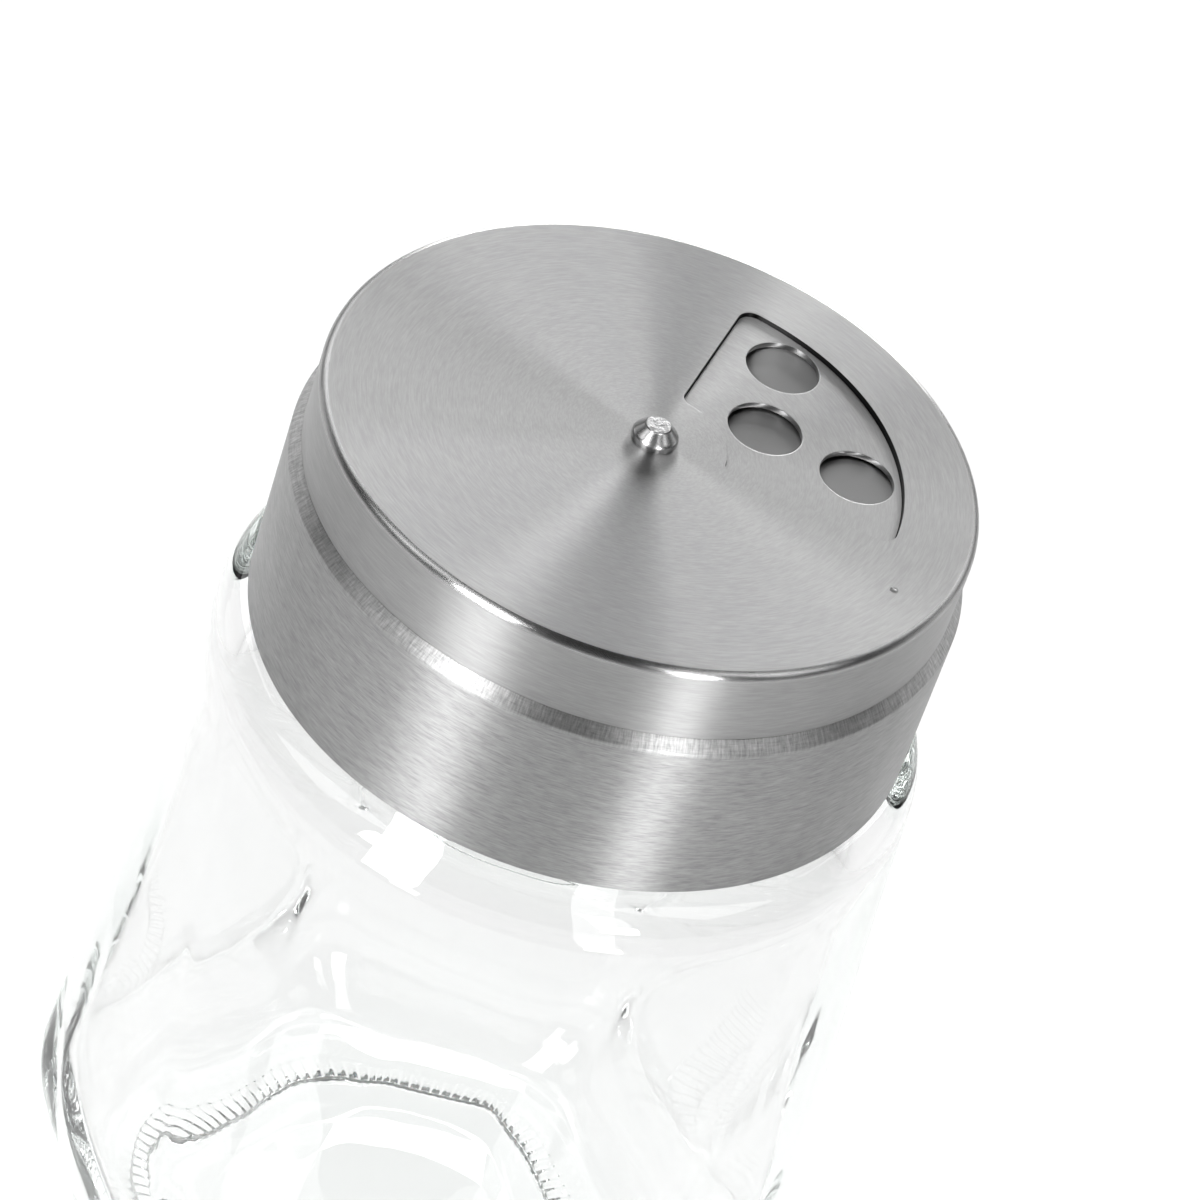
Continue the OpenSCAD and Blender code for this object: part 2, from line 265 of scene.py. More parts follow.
# The inner heel is a tight curve at the floor up to 45 degrees and a gentle one from there.
tight, gentle = 1.4, 11
tight_rise, inner_heel_rise, cos_45 = 0.41, 8.19, 0.7071
inner_heel_height = inner_heel_rise + 2.5 * corner_share
drop = np.linspace(0, 1, 22)[1:, None]
inner_z = inner_top_z + (floor_z + inner_heel_height[None, :] - inner_top_z) * drop
inner_round = 21.6 - 15.6 * drop
back = np.radians(np.concatenate([np.linspace(90, 45, 16)[1:], np.linspace(45, 0, 14)[1:]]))[:, None]
upper = back > np.radians(44.99)
inner_heel_half = np.where(
    upper, inner_half - gentle * (1 - np.sin(back)), inner_floor_half + tight * np.sin(back))
inner_heel_round = 9.0 - 3.0 * (inner_heel_half - inner_floor_half) / (inner_half - inner_floor_half)
heel_climb = np.where(
    upper, tight_rise + gentle * (cos_45 - np.cos(back)), tight * (1 - np.cos(back))) / inner_heel_rise
floor_share = np.linspace(1, 0, 10)[1:-1, None]
inside_r = np.vstack([
    mouth_r + lip_size - lip_size * np.sin(lip) + 0 * around,
    mouth_r + 0 * mouth_z + 0 * around,
    hexagon(around, swell_r, swell_r - 0.85 * swell ** 2),
    hexagon(around, inner_half, inner_round),
    hexagon(around, inner_heel_half, inner_heel_round),
    floor_share * hexagon(around, inner_floor_half, inner_floor_half - 9.33 * floor_share),
])
inside_z = np.vstack([
    lip_z + lip_size * np.cos(lip) + 0 * around,
    mouth_z + 0 * around,
    swell_z + 0 * around,
    inner_z,
    floor_z + inner_heel_height[None, :] * heel_climb,
    floor_z + floor_crown * (1 - floor_share ** 2) + 0 * around,
])
ripple = 0.07 * np.sin(np.radians(3 * around + 20) + 0.10 * inside_z) + 0.03 * np.sin(
    np.radians(7 * around + 40) - 0.19 * inside_z)
within_side = np.clip((inside_z - 10) / 8, 0, 1) * np.clip((59 - inside_z) / 8, 0, 1)
inside_r = inside_r + ripple * within_side

glass = make_piece("glass_body", [skin(
    np.vstack([rings_of(outside_r, outside_z, around), rings_of(inside_r, inside_z, around)]),
    first_pole=[0, 0, hollow_depth], last_pole=[0, 0, floor_z + floor_crown])])

clear_glass, tree, output, place = new_material("clear_glass")
peel = noise(tree, place, 220.0, 1.0, 0.4)
wave = noise(tree, place, 60.0, 0.0)
height = maths(tree, "MULTIPLY_ADD", wave, 4.0, peel)
skin_bump = node(tree, "ShaderNodeBump", Strength=0.25, Distance=0.00004, Height=height)
gloss = node(tree, "ShaderNodeBsdfPrincipled", Base_Color=(0.935, 0.935, 0.935, 1), Roughness=0.0, IOR=1.5,
             Transmission_Weight=1.0, Normal=skin_bump.outputs["Normal"])
passing = node(tree, "ShaderNodeBsdfTransparent", Color=(0.93, 0.96, 0.945, 1))
shadow = node(tree, "ShaderNodeLightPath").outputs["Is Shadow Ray"]
mixed = node(tree, "ShaderNodeMixShader", a=shadow, b=gloss.outputs["BSDF"], c=passing.outputs["BSDF"])
tint = node(tree, "ShaderNodeVolumeAbsorption", Color=(0.76, 0.84, 0.80, 1), Density=7.0)
tree.links.new(mixed.outputs["Shader"], output.inputs["Surface"])
tree.links.new(tint.outputs["Volume"], output.inputs["Volume"])
glass.data.materials.append(clear_glass)
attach(glass, "jar")
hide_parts("glass_jar")


# SEAL RING
# A loose flat ring of soft foamed polymer, punched from sheet, that lies between the flange of the
# insert and the rim of the glass. The CAD ring has its true shape and keeps it.
def remap(tree, value, low, high, to_low=0.0, to_high=1.0):
    """A value carried in a straight line from the range low to high to another, and held at its ends."""
    return node(tree, "ShaderNodeMapRange", Value=value, From_Min=low, From_Max=high, To_Min=to_low,
                To_Max=to_high).outputs["Result"]


def blend(tree, share, first, second):
    """A colour between two others, by a share from 0 to 1."""
    mix = node(tree, "ShaderNodeMix", {"data_type": "RGBA"}, Factor=share)
    mix.inputs[6].default_value = first
    mix.inputs[7].default_value = second
    return mix.outputs[2]


soft_seal, tree, output, place = new_material("soft_seal")
cells = node(tree, "ShaderNodeTexVoronoi", Vector=place, Scale=3200.0)
pores = remap(tree, cells.outputs["Distance"], 0.0, 0.7)
shade = blend(tree, pores, (0.74, 0.74, 0.71, 1), (0.84, 0.84, 0.81, 1))
dents = node(tree, "ShaderNodeBump", Strength=0.4, Distance=0.00005, Height=pores)
foam = node(tree, "ShaderNodeBsdfPrincipled", Base_Color=shade, Roughness=0.85,
            Normal=dents.outputs["Normal"])
tree.links.new(foam.outputs["BSDF"], output.inputs["Surface"])
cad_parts["seal_ring"].data.materials.clear()
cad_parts["seal_ring"].data.materials.append(soft_seal)


# THREADED INSERT
# A ring injected from white plastic and pressed up into the steel skirt. Its bore carries the inner
# thread, its top steps in under the sifter plate, and its flange holds the seal.
def rounded_path(corners, radii, steps=8, closed=True):
    """Path through corners in the half plane (r, z), each rounded to a circular arc. With A and B the
    tangent points, P the corner and w the cosine of half the turn, the arc is the conic
    ((1-t)^2 A + 2t(1-t)w P + t^2 B) / ((1-t)^2 + 2t(1-t)w + t^2). A short straight strip before and
    after each arc keeps the long faces beside it flat."""
    corners, radii = np.asarray(corners, float), np.asarray(radii, float)
    before, after = np.roll(corners, 1, 0) - corners, np.roll(corners, -1, 0) - corners
    before_length, after_length = np.linalg.norm(before, axis=1), np.linalg.norm(after, axis=1)
    before, after = before / before_length[:, None], after / after_length[:, None]
    half_turn = (np.pi - np.arccos(np.clip((before * after).sum(1), -1, 1))) / 2
    reach = radii * np.tan(half_turn)
    weight = np.cos(half_turn)[:, None, None]
    spare_before = before_length - reach - np.roll(reach, 1)
    spare_after = after_length - reach - np.roll(reach, -1)
    first = (corners + before * reach[:, None])[:, None]
    last = (corners + after * reach[:, None])[:, None]
    t = np.linspace(0, 1, steps + 1)[None, :, None]
    arcs = ((1 - t) ** 2 * first + 2 * t * (1 - t) * weight * corners[:, None] + t ** 2 * last) / (
        (1 - t) ** 2 + 2 * t * (1 - t) * weight + t ** 2)
    longest_strip = 0.12
    strip_before = first + (before * np.minimum(longest_strip, spare_before / 3)[:, None])[:, None]
    strip_after = last + (after * np.minimum(longest_strip, spare_after / 3)[:, None])[:, None]
    path = np.concatenate([strip_before, arcs, strip_after], axis=1).reshape(-1, 2)
    return path if closed else path[steps + 1:len(path) - steps - 1]


around_insert = np.arange(288) * 360 / 288
bore_radius = 21.25
path = rounded_path(
    [[bore_radius, 62.2], [22.75, 62.2], [22.75, 74.1], [21.35, 74.1], [21.35, 78.25], [20.55, 79.05],
     [17.2, 79.05], [17.2, 77.85], [20.15, 77.85], [20.15, 73.35], [bore_radius, 72.6]],
    [0.3, 0.2, 0.25, 0.1, 0.2, 0.2, 0.3, 0.3, 0.2, 0.2, 0.2], steps=4)
path = np.vstack([path, np.linspace(path[-1], path[0], 36)[1:-1]])
path_z = path[:, 1:] + 0 * around_insert
in_bore = np.abs(path[:, :1] - bore_radius) < 0.01
thread = np.where(in_bore, thread_height(around_insert, path_z, 64.1, 1.1), 0)
insert_rings = rings_of(path[:, :1] - thread, path_z, around_insert)
insert = make_piece("threaded_ring", [skin(insert_rings, wrap=True)])

white_plastic, tree, output, place = new_material("white_plastic")
clouds = noise(tree, place, 120.0)
grain = noise(tree, place, 2600.0, 1.0)
shade = blend(tree, clouds, (0.80, 0.80, 0.78, 1), (0.87, 0.87, 0.86, 1))
satin = remap(tree, clouds, 0.0, 1.0, 0.34, 0.46)
mould = node(tree, "ShaderNodeBump", Strength=0.3, Distance=0.00003, Height=grain)
plastic = node(tree, "ShaderNodeBsdfPrincipled", Base_Color=shade, Roughness=satin, Subsurface_Weight=0.2,
               Subsurface_Scale=0.001, Normal=mould.outputs["Normal"])
tree.links.new(plastic.outputs["BSDF"], output.inputs["Surface"])
insert.data.materials.append(white_plastic)
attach(insert, "lid")
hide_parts("threaded_insert")


# LID SHELL
# A cup drawn from 0.4 mm stainless sheet: a sifter plate with three punched holes, a wall that the
# dial slips over, a small flare, and a skirt brushed in short strokes around the axis.
def flat_patch(outline, gaps, z):
    """Flat sheet at height z inside an outline and outside its gaps, all closed loops of points.
    It is the constrained Delaunay triangulation of the loops, less the triangles in the gaps."""
    loops = [outline] + gaps
    points = np.vstack(loops)
    edges = []
    start = 0
    for loop in loops:
        end = start + len(loop)
        edges += [[k, k + 1 if k + 1 < end else start] for k in range(start, end)]
        start = end
    made = delaunay_2d_cdt([Vector(p) for p in points.tolist()], edges, [], 0, 1e-7)
    flat = np.array([list(p) for p in made[0]])
    triangles = np.array([face for face in made[2]])
    middle = flat[triangles].mean(axis=1)
    keep = within(middle, outline)
    for gap in gaps:
        keep &= ~within(middle, gap)
    return np.column_stack([flat, np.full(len(flat), z)]), triangles[keep].tolist()


def within(points, loop):
    """Which points lie inside a closed loop: those whose ray towards +x crosses it an odd number of
    times."""
    x, y = points[:, :1], points[:, 1:]
    x0, y0 = loop[:, 0][None, :], loop[:, 1][None, :]
    x1, y1 = np.roll(loop[:, 0], -1)[None, :], np.roll(loop[:, 1], -1)[None, :]
    rise = np.where(y1 == y0, 1e-12, y1 - y0)
    crosses = ((y0 > y) != (y1 > y)) & (x < x0 + (y - y0) / rise * (x1 - x0))
    return crosses.sum(axis=1) % 2 == 1


def circle(radius, count, centre=(0, 0)):
    """Points of a circle of a radius about a centre."""
    turn = np.arange(count) * 2 * np.pi / count
    return np.column_stack([centre[0] + radius * np.cos(turn), centre[1] + radius * np.sin(turn)])


def punched(centre, radius, high_z, low_z, count=96, edge=0.06, strip=0.1):
    """Wall of a punched hole through a sheet: a flat strip, a rounded edge of the given size, the wall,
    and the same again below. Returned with the circle at which it meets the faces of the sheet."""
    out = np.array([strip, edge, 0.3 * edge, 0])
    fall = np.array([0, 0, 0.3 * edge, edge])
    radii = radius + np.concatenate([out, out[::-1]])
    heights = np.concatenate([high_z - fall, low_z + fall[::-1]])
    rings = rings_of(radii[:, None], heights[:, None], np.arange(count) * 360 / count)
    rings = rings + np.array([centre[0], centre[1], 0])
    return skin(rings), circle(radius + strip, count, centre)


def sifter_holes(turn):
    """Centres of the three sifter holes, turned by an angle in degrees about the axis."""
    spots = np.radians([36.9 + turn, 13.85 + turn, 59.95 + turn])
    distance = np.array([8.7, 14.1, 14.1])
    return np.column_stack([distance * np.cos(spots), distance * np.sin(spots)])


around_lid = np.arange(360)
hole_radius, axle_radius = 2.6, 1.25
plate_z, plate_under_z, plate_radius = 79.5, 79.1, 20.85
path = rounded_path(
    [[plate_radius, plate_z], [21.8, plate_z], [21.8, 74.88], [22.44, 74.88], [23.2, 74.1], [23.2, 61.6],
     [22.8, 61.6], [22.8, 73.95], [22.3, 74.45], [21.4, 74.45], [21.4, plate_under_z],
     [plate_radius, plate_under_z]],
    [0, 0.8, 0.1, 0.1, 0.3, 0.12, 0.12, 0.2, 0.2, 0.2, 0.4, 0], steps=10, closed=False)
wall = skin(rings_of(path[:, :1], path[:, 1:], around_lid))
plate_holes = [punched(spot, hole_radius, plate_z, plate_under_z) for spot in sifter_holes(90)]
plate_holes.append(punched((0, 0), axle_radius, plate_z, plate_under_z, 48))
gaps = [rim for _, rim in plate_holes]
shell = make_piece("lid_shell", [wall] + [hole for hole, _ in plate_holes] + [
    flat_patch(circle(plate_radius, 360), gaps, plate_z),
    flat_patch(circle(plate_radius, 360), gaps, plate_under_z)])

# Brushing, shared by the steel pieces: fine lines that run around the axis.
lines_group = bpy.data.node_groups.new("brushed_around", "ShaderNodeTree")
lines_group.interface.new_socket("Lines per metre", in_out="INPUT", socket_type="NodeSocketFloat")
lines_group.interface.new_socket("Breaks per turn", in_out="INPUT", socket_type="NodeSocketFloat")
lines_group.interface.new_socket("Lines", in_out="OUTPUT", socket_type="NodeSocketFloat")
given = lines_group.nodes.new("NodeGroupInput").outputs
place = node(lines_group, "ShaderNodeTexCoord").outputs["Object"]
parts = node(lines_group, "ShaderNodeSeparateXYZ", Vector=place).outputs
level = node(lines_group, "ShaderNodeCombineXYZ", X=parts["X"], Y=parts["Y"]).outputs["Vector"]
from_axis = node(lines_group, "ShaderNodeVectorMath", {"operation": "LENGTH"}, a=level).outputs["Value"]
bearing = node(lines_group, "ShaderNodeVectorMath", {"operation": "NORMALIZE"}, a=level).outputs["Vector"]
bearing_long = node(lines_group, "ShaderNodeVectorMath", {"operation": "SCALE"}, a=bearing,
                    Scale=given["Breaks per turn"]).outputs["Vector"]
bearing_parts = node(lines_group, "ShaderNodeSeparateXYZ", Vector=bearing_long).outputs
down_the_side = maths(lines_group, "SUBTRACT", from_axis, parts["Z"])
count = maths(lines_group, "MULTIPLY", down_the_side, given["Lines per metre"])
spun = node(lines_group, "ShaderNodeCombineXYZ", X=count, Y=bearing_parts["X"], Z=bearing_parts["Y"])
streaks = noise(lines_group, spun.outputs["Vector"], 1.0, 3.0, 0.6)
lines_group.links.new(streaks, lines_group.nodes.new("NodeGroupOutput").inputs["Lines"])


def brushed(tree, lines_per_metre, breaks_per_turn):
    """Places the shared brushing in a material and returns its lines, 0 to 1 about one half."""
    made = tree.nodes.new("ShaderNodeGroup")
    made.node_tree = lines_group
    made.inputs["Lines per metre"].default_value = lines_per_metre
    made.inputs["Breaks per turn"].default_value = breaks_per_turn
    return made.outputs["Lines"]


def grey(tree, value):
    """A grey colour of one value, 0 black and 1 white."""
    return node(tree, "ShaderNodeCombineColor", Red=value, Green=value, Blue=value).outputs["Color"]


brushed_steel, tree, output, place = new_material("brushed_steel")
# Grooves are cut in the skirt alone. Scuffs lighten the flare between it and the dial: real marks, with
# painted light in their lighter tone. All that lies under the dial has one even, darker tone of painted
# shade.
height = node(tree, "ShaderNodeSeparateXYZ", Vector=place).outputs["Z"]
flare_top, flare_foot, dial_foot = 0.0743, 0.0737, 0.0750
# Painted shade: the plate and wall under the dial get one darker tone for the shadow the dial casts on them.
painted_shade_under_dial = 0.25
skirt = remap(tree, height, flare_top, flare_foot)
below_dial = remap(tree, height, 0.0752, dial_foot)
lines = maths(tree, "MULTIPLY_ADD", brushed(tree, 3000.0, 9.0), 0.5, brushed(tree, 9000.0, 22.0))
depth = maths(tree, "MULTIPLY", lines, skirt)
shade = remap(tree, lines, 0.5, 1.0, 0.29, 0.45)
above_painted_shade = maths(tree, "SUBTRACT", shade, painted_shade_under_dial)
drawn = maths(tree, "MULTIPLY_ADD", above_painted_shade, below_dial, painted_shade_under_dial)
# The scuffs are real marks; the light they add to the flare is also painted light, standing in for the
# brightness the flare reflects.
scuffs = remap(tree, brushed(tree, 900.0, 150.0), 0.35, 0.8)
on_flare = maths(tree, "SUBTRACT", below_dial, skirt)
scuff_and_painted_light = maths(tree, "MULTIPLY", on_flare, 0.3)
marked = maths(tree, "MULTIPLY_ADD", scuffs, scuff_and_painted_light, drawn)
rough = remap(tree, skirt, 0.0, 1.0, 0.5, 0.4)
grooves = node(tree, "ShaderNodeBump", Strength=0.35, Distance=0.00002, Height=depth)
flow = node(tree, "ShaderNodeTangent", {"direction_type": "RADIAL", "axis": "Z"})
steel = node(tree, "ShaderNodeBsdfPrincipled", Base_Color=grey(tree, marked), Metallic=1.0, Roughness=rough,
             Anisotropic=0.95, Anisotropic_Rotation=0.25, Normal=grooves.outputs["Normal"],
             Tangent=flow.outputs["Tangent"])
tree.links.new(steel.outputs["BSDF"], output.inputs["Surface"])
shell.data.materials.append(brushed_steel)
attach(shell, "lid")
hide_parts("skirt_shell")


# SPRING WASHER
# A thin dished washer of plain rolled steel under the sifter plate. The foot of the rivet holds it
# flat enough to keep the dial from rattling. The CAD washer keeps its shape.
plain_steel, tree, output, place = new_material("plain_steel")
stretch = node(tree, "ShaderNodeMapping", Vector=place, Scale=(300.0, 5000.0, 300.0))
rolled = noise(tree, stretch.outputs["Vector"], 1.0, 3.0)
shade = remap(tree, rolled, 0.0, 1.0, 0.42, 0.58)
scratch = node(tree, "ShaderNodeBump", Strength=0.3, Distance=0.00001, Height=rolled)
steel = node(tree, "ShaderNodeBsdfPrincipled", Base_Color=grey(tree, shade), Metallic=1.0, Roughness=0.3,
             Normal=scratch.outputs["Normal"])
tree.links.new(steel.outputs["BSDF"], output.inputs["Surface"])
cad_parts["spring_washer"].data.materials.clear()
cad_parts["spring_washer"].data.materials.append(plain_steel)


# CENTRE RIVET
# A turned steel pin. Its shank passes through dial, plate and washer, its foot is clinched over
# below, and the tool left a small rough flat on top of its polished head.
around_rivet = np.arange(160) * 360 / 160
foot_z, head_z, shank_radius = 77.85, 81.75, 1.2
path = rounded_path(
    [[0.001, foot_z], [2.3, 78.15], [2.3, 78.45], [shank_radius, 78.45], [shank_radius, 80.55],
     [1.6, 80.55], [1.6, 80.98], [0.84, head_z], [0.001, head_z]],
    [0, 0.12, 0.08, 0.08, 0.04, 0.05, 0.5, 0.12, 0], steps=8, closed=False)
rivet = make_piece("rivet_pin", [skin(
    rings_of(path[:, :1], path[:, 1:], around_rivet), first_pole=[0, 0, foot_z], last_pole=[0, 0, head_z])])

polished_steel, tree, output, place = new_material("polished_steel")
# The flat top of the head is dented, darker and less smooth than its sides.
height = node(tree, "ShaderNodeSeparateXYZ", Vector=place).outputs["Z"]
top = remap(tree, height, 0.08166, 0.08173)
crushed = noise(tree, place, 2600.0, 3.0, 0.7)
dents = maths(tree, "MULTIPLY", crushed, top)
marks = node(tree, "ShaderNodeBump", Strength=0.9, Distance=0.00012, Height=dents)
shade = remap(tree, brushed(tree, 9000.0, 4.0), 0.0, 1.0, 0.42, 0.56)
dull = remap(tree, top, 0.0, 1.0, 1.0, 0.6)
toned = maths(tree, "MULTIPLY", shade, dull)
rough = remap(tree, top, 0.0, 1.0, 0.26, 0.35)
steel = node(tree, "ShaderNodeBsdfPrincipled", Base_Color=grey(tree, toned), Metallic=1.0, Roughness=rough,
             Normal=marks.outputs["Normal"])
tree.links.new(steel.outputs["BSDF"], output.inputs["Surface"])
rivet.data.materials.append(polished_steel)
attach(rivet, "lid")
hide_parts("centre_rivet")


# DIAL
# A shallow cup of the same sheet, its top spun in fine concentric lines. A sector with three punched
# holes is pressed 0.3 to 0.5 down, and a small punch mark beside it shows where it stands.
def sector_outline(grow):
    """Points of the pressed sector's edge, moved outwards by a distance along its normals. The edge is an
    arc of 17.2, a radial side, an arc of 5 and a radial side from -9.95 to 78.35 degrees, with corners
    rounded by 1.1 outside and 0.8 inside. A corner's centre lies at 17.2 - 1.1 or 5 + 0.8 from the
    axis and its own radius from the side, so it is asin(round / distance) from the side's angle."""
    low, high = -9.95, 78.35
    outer, inner, round_out, round_in = 17.2, 5.0, 1.1, 0.8
    centre_out, centre_in = 16.1, 5.8
    turn_out = np.degrees(np.arcsin(round_out / centre_out))
    turn_in = np.degrees(np.arcsin(round_in / centre_in))

    def arc(distance, bearing, radius, start, end, count):
        """Points and normals of an arc about a centre given by its distance and bearing."""
        angle = np.radians(np.linspace(start, end, count))
        normal = np.column_stack([np.cos(angle), np.sin(angle)])
        centre = distance * np.array([np.cos(np.radians(bearing)), np.sin(np.radians(bearing))])
        return centre + abs(radius) * normal, normal * np.sign(radius)

    pieces = [
        arc(0, 0, outer, low + turn_out, high - turn_out, 120),
        arc(centre_out, high - turn_out, round_out, high - turn_out, high + 90, 14),
        arc(centre_in, high - turn_in, round_in, high + 90, high - turn_in + 180, 14),
        arc(0, 0, -inner, high - turn_in, low + turn_in, 40),
        arc(centre_in, low + turn_in, round_in, low + turn_in + 180, low + 270, 14),
        arc(centre_out, low + turn_out, round_out, low - 90, low + turn_out, 14),
    ]
    points = np.vstack([p for p, _ in pieces])
    normals = np.vstack([n for _, n in pieces])
    apart = np.linalg.norm(np.roll(points, -1, 0) - points, axis=1) > 1e-6
    return (points + grow * normals)[apart]


def pressed(points):
    """Depth of the sector below the disc at points: 0.3 at its side at 78.35 degrees, and 0.2 more for
    each 17.2 of distance from that side, so that its other side lies against the plate below."""
    side = np.radians(78.35)
    away = points[..., 0] * np.sin(side) - points[..., 1] * np.cos(side)
    return 0.3 + 0.2 * np.clip(away / 17.2, 0, 1)


def sunk(patch):
    """A patch drawn level with the disc, lowered by the sector's depth."""
    points, faces = patch
    return points - np.array([0, 0, 1.0]) * pressed(points)[:, None], faces


disc_z, disc_under_z, disc_radius = 80.5, 80.1, 21.2
path = rounded_path(
    [[disc_radius, disc_z], [22.5, disc_z], [22.5, 74.92], [22.1, 74.92], [22.1, disc_under_z],
     [disc_radius, disc_under_z]],
    [0, 0.6, 0.05, 0.1, 0.2, 0], steps=14, closed=False)
band = skin(rings_of(path[:, :1], path[:, 1:], around_lid))
dial_holes = [punched(spot, hole_radius, disc_z, disc_under_z, edge=0.004) for spot in sifter_holes(0)]
hole_rims = [rim for _, rim in dial_holes]
axle, axle_rim = punched((0, 0), axle_radius, disc_z, disc_under_z, 48)

# The wall round the sector: loops at a distance out from its edge, each at a share of the depth.
edge_out = np.array([0.14, 0.012, 0.0, -0.01, -0.06, -0.075, -0.27])
edge_share = np.array([0, 0, 0.02, 1.0, 1.0, 1.0, 1.0])[:, None]
edge_loops = np.stack([sector_outline(out) for out in edge_out])
pressed_edge = skin(np.dstack([edge_loops, disc_z - edge_share * pressed(edge_loops)]))
under_out = np.array([0.55, 0.44, 0.40, 0.38, 0.34, 0.1])
under_share = np.array([0, 0, 0.1, 0.9, 1.0, 1.0])[:, None]
under_loops = np.stack([sector_outline(out) for out in under_out])
under_edge = skin(np.dstack([under_loops, disc_under_z - under_share * pressed(under_loops)]))

mark_spot = 19.15 * np.array([np.cos(np.radians(-22.5)), np.sin(np.radians(-22.5))])
mark_radius, mark_depth = 0.34, 0.2
around_mark = np.arange(32) * 11.25
pit = np.radians(np.linspace(0, 80, 7))[:, None]
pit_rings = np.vstack([
    rings_of(np.array([[mark_radius], [0.3]]), np.array([[disc_z], [disc_z]]), around_mark),
    rings_of(0.27 * np.cos(pit), 80.48 - mark_depth * np.sin(pit), around_mark)])
mark = skin(pit_rings + np.array([mark_spot[0], mark_spot[1], 0]),
            last_pole=[mark_spot[0], mark_spot[1], 80.28])
dial = make_piece("dial_cup", [
    band, axle, pressed_edge, under_edge, mark,
    flat_patch(circle(disc_radius, 360),
               [sector_outline(edge_out[0]), axle_rim, circle(mark_radius, 32, mark_spot)], disc_z),
    flat_patch(circle(disc_radius, 360), [sector_outline(under_out[0]), axle_rim], disc_under_z),
    sunk(flat_patch(sector_outline(edge_out[-1]), hole_rims, disc_z)),
    sunk(flat_patch(sector_outline(under_out[-1]), hole_rims, disc_under_z))] + [
    sunk(hole) for hole, _ in dial_holes])

# The cut walls round the sector are marked on the mesh, so that the material can paint shade on them for the
# shadowed gap beneath the cut.
dial.data.set_sharp_from_angle(angle=np.radians(28))
corners = np.empty(len(dial.data.vertices) * 3)
dial.data.vertices.foreach_get("co", corners)
corners = corners.reshape(-1, 3) * 1000
cut_wall_painted_shade = within(corners[:, :2], sector_outline(0.006)) & ~within(corners[:, :2], sector_outline(-0.067)) & (
    corners[:, 2] > disc_z - 1.02 * pressed(corners))
dial.data.attributes.new("cut_wall_painted_shade", "FLOAT", "POINT").data.foreach_set("value", cut_wall_painted_shade.astype(float))

spun_steel, tree, output, place = new_material("spun_steel")
# Grooves are shallower in the sector, its cut walls get painted shade for the shadowed gap below them, and
# the rim's outermost part is smoother.
parts = node(tree, "ShaderNodeSeparateXYZ", Vector=place).outputs
height = parts["Z"]
level = node(tree, "ShaderNodeCombineXYZ", X=parts["X"], Y=parts["Y"]).outputs["Vector"]
from_axis = node(tree, "ShaderNodeVectorMath", {"operation": "LENGTH"}, a=level).outputs["Value"]
lines = maths(tree, "MULTIPLY_ADD", brushed(tree, 2500.0, 5.0), 0.3, brushed(tree, 9000.0, 14.0))
raised = remap(tree, height, 0.0801, 0.0803, 0.45, 1.0)
depth = maths(tree, "MULTIPLY", lines, raised)
shade = remap(tree, lines, 0.5, 1.0, 0.355, 0.445)
# Painted shade: the cut walls of the sector are darkened almost to black for the shadowed gap under them.
cut = node(tree, "ShaderNodeAttribute", {"attribute_name": "cut_wall_painted_shade"}).outputs["Fac"]
painted_cut_shade = remap(tree, cut, 0.0, 1.0, 1.0, 0.06)
toned = maths(tree, "MULTIPLY", shade, painted_cut_shade)
grooves = node(tree, "ShaderNodeBump", Strength=0.35, Distance=0.00002, Height=depth)
flow = node(tree, "ShaderNodeTangent", {"direction_type": "RADIAL", "axis": "Z"})
outer = remap(tree, from_axis, 0.02190, 0.02198)
high = remap(tree, height, 0.0798, 0.0800)
rim = maths(tree, "MULTIPLY", outer, high)
rough = remap(tree, rim, 0.0, 1.0, 0.4, 0.27)
steel = node(tree, "ShaderNodeBsdfPrincipled", Base_Color=grey(tree, toned), Metallic=1.0, Roughness=rough,
             Anisotropic=0.95, Anisotropic_Rotation=0.25, Normal=grooves.outputs["Normal"],
             Tangent=flow.outputs["Tangent"])
tree.links.new(steel.outputs["BSDF"], output.inputs["Surface"])
dial.data.materials.append(spun_steel)
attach(dial, "dial")
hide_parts("dial_cap")


# FLOOR AND LIGHT
# A white sheet under the jar and swept up behind it, in a dim room. Tall soft boxes stand in front to
# the left and right with a strip beside each, two hang above the sides, and three light it from behind.
sweep = np.radians(np.linspace(0, 90, 24))
run = np.concatenate([[-0.7], 1.4 + 0.5 * np.sin(sweep), [1.9]])
rise = np.concatenate([[0], 0.5 * (1 - np.cos(sweep)), [0.7]])
sheet_x, sheet_y = np.meshgrid([-2.5, 2.5], run)
sheet_z = np.repeat(rise[:, None], 2, axis=1)
k = np.arange(len(run) - 1) * 2
sheet_mesh = bpy.data.meshes.new("backdrop")
sheet_mesh.from_pydata(np.stack([sheet_x, sheet_y, sheet_z], axis=-1).reshape(-1, 3).tolist(), [],
                       np.stack([k, k + 1, k + 3, k + 2], axis=-1).tolist())
backdrop = bpy.data.objects.new("backdrop", sheet_mesh)
bpy.context.scene.collection.objects.link(backdrop)
paper, tree, output, place = new_material("white_paper")
shade = remap(tree, noise(tree, place, 30.0), 0.0, 1.0, 0.90, 0.92)
matt = node(tree, "ShaderNodeBsdfDiffuse", Color=grey(tree, shade))
rays = node(tree, "ShaderNodeLightPath").outputs
seen = maths(tree, "MAXIMUM", rays["Is Camera Ray"], rays["Is Transmission Ray"])
share = maths(tree, "MULTIPLY", seen, 0.85)
glow = node(tree, "ShaderNodeEmission", Strength=1.03)
both = node(tree, "ShaderNodeMixShader", a=share, b=matt.outputs["BSDF"], c=glow.outputs["Emission"])
tree.links.new(both.outputs["Shader"], output.inputs["Surface"])
backdrop.data.materials.append(paper)


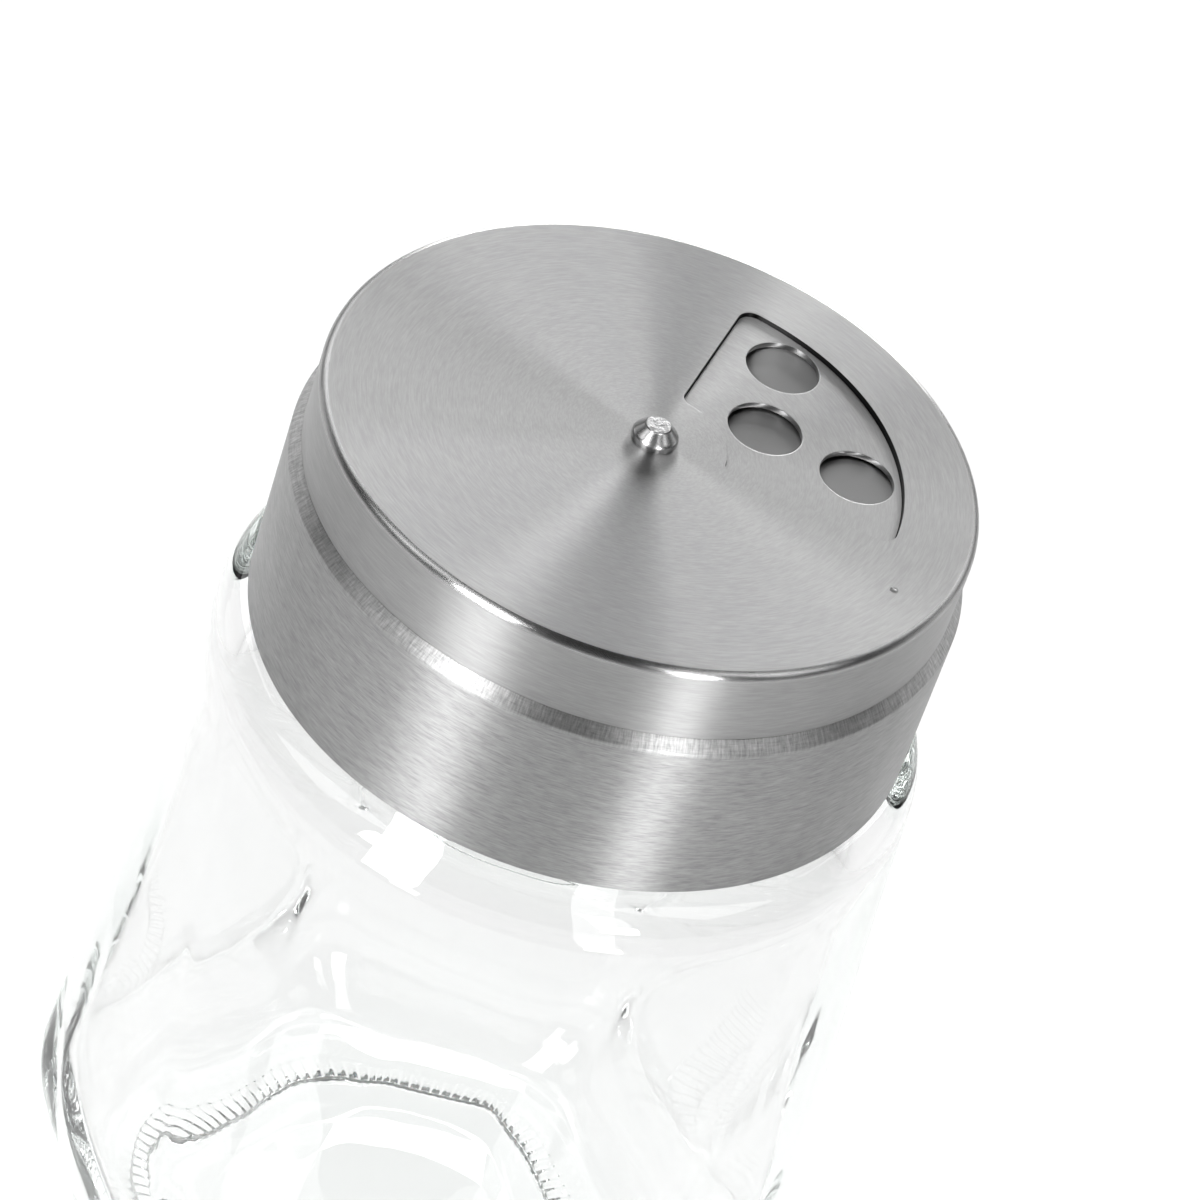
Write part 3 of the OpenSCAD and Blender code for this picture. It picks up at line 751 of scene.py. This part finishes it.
def soft_box(name, direction, width, tall, radiance):
    """A rectangular area light one metre from the lid in a direction, facing it. Its power is
    pi x width x height x radiance. It lights the jar and shows in it, but not in the picture itself."""
    light = bpy.data.lights.new(name, "AREA")
    light.shape = "RECTANGLE"
    light.size, light.size_y = width, tall
    light.energy = np.pi * width * tall * radiance
    box = bpy.data.objects.new(name, light)
    aim = Vector(direction).normalized()
    box.location = Vector((0, 0, 0.07)) + aim
    box.rotation_euler = aim.to_track_quat("Z", "Y").to_euler()
    box.visible_camera = False
    bpy.context.scene.collection.objects.link(box)


soft_box("left_box", (-0.49, -0.69, 0.50), 0.29, 0.60, 13.0)
soft_box("right_box", (0.45, -0.72, 0.50), 0.20, 0.60, 3.8)
soft_box("left_strip", (-0.45, -0.85, 0.24), 0.16, 0.30, 8.2)
soft_box("right_strip", (0.53, -0.81, 0.24), 0.20, 0.30, 20.0)
soft_box("left_top_box", (-0.58, -0.10, 0.82), 0.40, 0.60, 2.35)
soft_box("right_top_box", (0.58, -0.10, 0.82), 0.40, 0.60, 2.3)
soft_box("left_rear_box", (-0.37, 0.72, 0.64), 0.55, 0.55, 2.15)
soft_box("right_rear_box", (0.39, 0.72, 0.64), 0.55, 0.55, 1.6)
soft_box("rear_box", (0.0, 0.97, 0.25), 0.50, 0.30, 9.8)

# The room is dim except low down behind the jar, and white where the camera looks past everything.
world = bpy.data.worlds.new("room")
bpy.context.scene.world = world
world.use_nodes = True
tree = world.node_tree
direction = node(tree, "ShaderNodeTexCoord").outputs["Generated"]
toward = node(tree, "ShaderNodeSeparateXYZ", Vector=direction).outputs
smooth = {"interpolation_type": "SMOOTHSTEP"}
low = node(tree, "ShaderNodeMapRange", smooth, Value=toward["Z"], From_Min=0.08, From_Max=0.5, To_Min=1.0,
           To_Max=0.0).outputs["Result"]
behind = node(tree, "ShaderNodeMapRange", smooth, Value=toward["Y"], From_Min=0.0,
              From_Max=0.5).outputs["Result"]
fade = remap(tree, maths(tree, "MULTIPLY", low, behind), 0.0, 1.0, 0.06, 1.0)
lit = maths(tree, "MAXIMUM", fade, node(tree, "ShaderNodeLightPath").outputs["Is Camera Ray"])
background = tree.nodes["Background"]
tree.links.new(lit, background.inputs["Strength"])
background.inputs["Color"].default_value = (1, 1, 1, 1)
